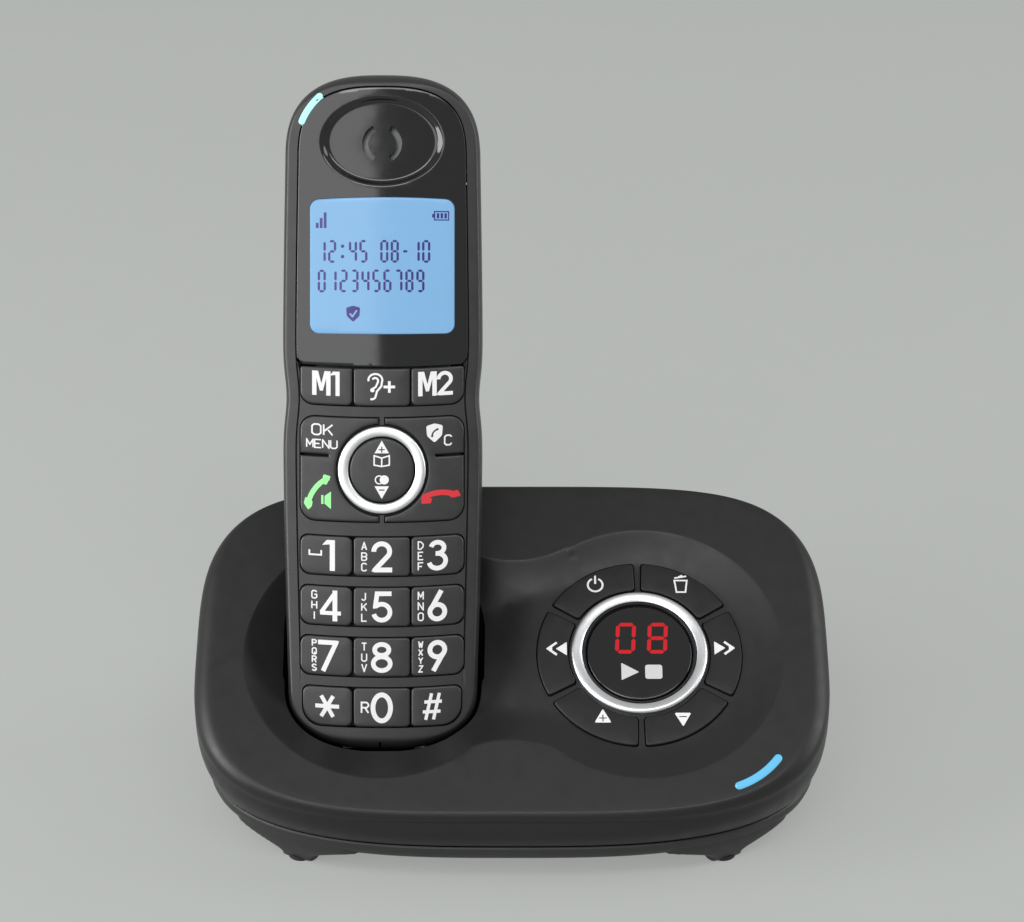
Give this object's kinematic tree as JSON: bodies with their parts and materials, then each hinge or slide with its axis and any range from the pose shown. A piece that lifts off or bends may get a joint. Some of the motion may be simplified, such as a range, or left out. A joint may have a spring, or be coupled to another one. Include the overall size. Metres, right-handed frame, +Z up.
{
  "type": "cordless telephone with answering machine base",
  "caption": "Cordless telephone handset standing in a sloped charging base with a ring of answering machine keys.",
  "frame": {"origin": "on the table, under the middle of the whole object's plan, with the handset docked", "axes": "+X to the user's right, +Y away from the user, +Z up"},
  "size_m": [0.1608, 0.1258, 0.1702],
  "materials": {
    "black_plastic": "fine satin moulded texture",
    "gloss_black": "polished",
    "clear_lens": "clear polished",
    "pale_light": "translucent, lit from behind",
    "blue_light": "translucent, lit from behind",
    "bright_ring": "satin plated plastic",
    "key_black": "satin with printed white legends",
    "grey_rubber": "matt silicone",
    "black_rubber": "matt",
    "display_blue": "backlit liquid crystal",
    "diffuser": "milky diffuser",
    "speaker_steel": "plain",
    "board_green": "solder mask",
    "cell_wrap": "printed sleeve",
    "spring_steel": "plated",
    "screw_steel": "zinc plated",
    "red_display": "lit segments behind a dark lens",
    "socket_black": "moulded"
  },
  "bodies": {
    "base": {"base_top_cover": "black_plastic", "base_bottom_cover": "black_plastic", "play_ring": "bright_ring", "base_key_mat": "grey_rubber", "message_display": "red_display", "base_light_pipe": "blue_light", "base_circuit_board": "board_green", "base_loudspeaker": "speaker_steel", "line_socket": "socket_black", "power_socket": "socket_black", "base_feet": "black_rubber", "base_screws": "screw_steel"},
    "handset": {"handset_front_cover": "black_plastic", "handset_rear_cover": "black_plastic", "front_fascia": "gloss_black", "display_lens": "clear_lens", "handset_light_pipe": "pale_light", "navigation_ring": "bright_ring", "keypad_mat": "grey_rubber", "display_module": "display_blue", "display_backlight": "diffuser", "earpiece_speaker": "speaker_steel", "earpiece_gasket": "black_rubber", "handset_circuit_board": "board_green", "microphone": "speaker_steel", "ringer_speaker": "speaker_steel", "battery_cells": "cell_wrap", "battery_contacts": "spring_steel", "handset_charge_pads": "spring_steel", "handset_screws": "screw_steel"},
    "key_1_button": {"key_1": "key_black"},
    "key_2_button": {"key_2": "key_black"},
    "key_3_button": {"key_3": "key_black"},
    "key_4_button": {"key_4": "key_black"},
    "key_5_button": {"key_5": "key_black"},
    "key_6_button": {"key_6": "key_black"},
    "key_7_button": {"key_7": "key_black"},
    "key_8_button": {"key_8": "key_black"},
    "key_9_button": {"key_9": "key_black"},
    "key_star_button": {"key_star": "key_black"},
    "key_0_button": {"key_0": "key_black"},
    "key_hash_button": {"key_hash": "key_black"},
    "key_memory_1_button": {"key_memory_1": "key_black"},
    "key_louder_button": {"key_louder": "key_black"},
    "key_memory_2_button": {"key_memory_2": "key_black"},
    "key_ok_and_talk_rocker": {"key_ok_and_talk": "key_black"},
    "key_clear_and_end_rocker": {"key_clear_and_end": "key_black"},
    "navigation_rocker": {"navigation_key": "key_black"},
    "battery_door_piece": {"battery_door": "black_plastic"},
    "play_key_button": {"play_key": "gloss_black"},
    "base_key_power_button": {"base_key_power": "key_black"},
    "base_key_delete_button": {"base_key_delete": "key_black"},
    "base_key_forward_button": {"base_key_forward": "key_black"},
    "base_key_quieter_button": {"base_key_quieter": "key_black"},
    "base_key_louder_button": {"base_key_louder": "key_black"},
    "base_key_back_button": {"base_key_back": "key_black"},
    "cradle_contact_left_blade": {"cradle_contact_left": "spring_steel"},
    "cradle_contact_right_blade": {"cradle_contact_right": "spring_steel"}
  },
  "joints": [
    {"name": "handset_lift", "type": "slide", "parent": "base", "child": "handset", "axis": [0, 0.5, 0.866], "range_m": [0, 0.08]},
    {"name": "key_1_press", "type": "slide", "parent": "handset", "child": "key_1_button", "axis": [0, 0.866, -0.5], "range_m": [0, 0.0008], "stiffness_N_per_m": 1500},
    {"name": "key_2_press", "type": "slide", "parent": "handset", "child": "key_2_button", "axis": [0, 0.866, -0.5], "range_m": [0, 0.0008], "stiffness_N_per_m": 1500},
    {"name": "key_3_press", "type": "slide", "parent": "handset", "child": "key_3_button", "axis": [0, 0.866, -0.5], "range_m": [0, 0.0008], "stiffness_N_per_m": 1500},
    {"name": "key_4_press", "type": "slide", "parent": "handset", "child": "key_4_button", "axis": [0, 0.866, -0.5], "range_m": [0, 0.0008], "stiffness_N_per_m": 1500},
    {"name": "key_5_press", "type": "slide", "parent": "handset", "child": "key_5_button", "axis": [0, 0.866, -0.5], "range_m": [0, 0.0008], "stiffness_N_per_m": 1500},
    {"name": "key_6_press", "type": "slide", "parent": "handset", "child": "key_6_button", "axis": [0, 0.866, -0.5], "range_m": [0, 0.0008], "stiffness_N_per_m": 1500},
    {"name": "key_7_press", "type": "slide", "parent": "handset", "child": "key_7_button", "axis": [0, 0.866, -0.5], "range_m": [0, 0.0008], "stiffness_N_per_m": 1500},
    {"name": "key_8_press", "type": "slide", "parent": "handset", "child": "key_8_button", "axis": [0, 0.866, -0.5], "range_m": [0, 0.0008], "stiffness_N_per_m": 1500},
    {"name": "key_9_press", "type": "slide", "parent": "handset", "child": "key_9_button", "axis": [0, 0.866, -0.5], "range_m": [0, 0.0008], "stiffness_N_per_m": 1500},
    {"name": "key_star_press", "type": "slide", "parent": "handset", "child": "key_star_button", "axis": [0, 0.866, -0.5], "range_m": [0, 0.0008], "stiffness_N_per_m": 1500},
    {"name": "key_0_press", "type": "slide", "parent": "handset", "child": "key_0_button", "axis": [0, 0.866, -0.5], "range_m": [0, 0.0008], "stiffness_N_per_m": 1500},
    {"name": "key_hash_press", "type": "slide", "parent": "handset", "child": "key_hash_button", "axis": [0, 0.866, -0.5], "range_m": [0, 0.0008], "stiffness_N_per_m": 1500},
    {"name": "key_memory_1_press", "type": "slide", "parent": "handset", "child": "key_memory_1_button", "axis": [0, 0.866, -0.5], "range_m": [0, 0.0008], "stiffness_N_per_m": 1500},
    {"name": "key_louder_press", "type": "slide", "parent": "handset", "child": "key_louder_button", "axis": [0, 0.866, -0.5], "range_m": [0, 0.0008], "stiffness_N_per_m": 1500},
    {"name": "key_memory_2_press", "type": "slide", "parent": "handset", "child": "key_memory_2_button", "axis": [0, 0.866, -0.5], "range_m": [0, 0.0008], "stiffness_N_per_m": 1500},
    {"name": "key_ok_and_talk_rock", "type": "hinge", "parent": "handset", "child": "key_ok_and_talk_rocker", "pos_m": [-0.0456, -0.00143, 0.08404], "axis": [1, 0, 0], "range_deg": [-1.5, 1.5], "stiffness_Nm_per_rad": 0.7},
    {"name": "key_clear_and_end_rock", "type": "hinge", "parent": "handset", "child": "key_clear_and_end_rocker", "pos_m": [-0.0196, -0.00143, 0.08404], "axis": [1, 0, 0], "range_deg": [-1.5, 1.5], "stiffness_Nm_per_rad": 0.7},
    {"name": "navigation_rock", "type": "hinge", "parent": "handset", "child": "navigation_rocker", "pos_m": [-0.0326, -0.00153, 0.08387], "axis": [1, 0, 0], "range_deg": [-2.5, 2.5], "stiffness_Nm_per_rad": 0.7},
    {"name": "battery_door_off", "type": "slide", "parent": "handset", "child": "battery_door_piece", "axis": [0, 0.866, -0.5], "range_m": [0, 0.02]},
    {"name": "play_key_press", "type": "slide", "parent": "base", "child": "play_key_button", "axis": [0, 0.4695, -0.8829], "range_m": [0, 0.0008], "stiffness_N_per_m": 1500},
    {"name": "base_key_power_press", "type": "slide", "parent": "base", "child": "base_key_power_button", "axis": [0, 0.4695, -0.8829], "range_m": [0, 0.0008], "stiffness_N_per_m": 1500},
    {"name": "base_key_delete_press", "type": "slide", "parent": "base", "child": "base_key_delete_button", "axis": [0, 0.4695, -0.8829], "range_m": [0, 0.0008], "stiffness_N_per_m": 1500},
    {"name": "base_key_forward_press", "type": "slide", "parent": "base", "child": "base_key_forward_button", "axis": [0, 0.4695, -0.8829], "range_m": [0, 0.0008], "stiffness_N_per_m": 1500},
    {"name": "base_key_quieter_press", "type": "slide", "parent": "base", "child": "base_key_quieter_button", "axis": [0, 0.4695, -0.8829], "range_m": [0, 0.0008], "stiffness_N_per_m": 1500},
    {"name": "base_key_louder_press", "type": "slide", "parent": "base", "child": "base_key_louder_button", "axis": [0, 0.4695, -0.8829], "range_m": [0, 0.0008], "stiffness_N_per_m": 1500},
    {"name": "base_key_back_press", "type": "slide", "parent": "base", "child": "base_key_back_button", "axis": [0, 0.4695, -0.8829], "range_m": [0, 0.0008], "stiffness_N_per_m": 1500},
    {"name": "cradle_contact_left_press", "type": "slide", "parent": "base", "child": "cradle_contact_left_blade", "axis": [0, -0.5, -0.866], "range_m": [0, 0.0008], "stiffness_N_per_m": 400},
    {"name": "cradle_contact_right_press", "type": "slide", "parent": "base", "child": "cradle_contact_right_blade", "axis": [0, -0.5, -0.866], "range_m": [0, 0.0008], "stiffness_N_per_m": 400}
  ]
}
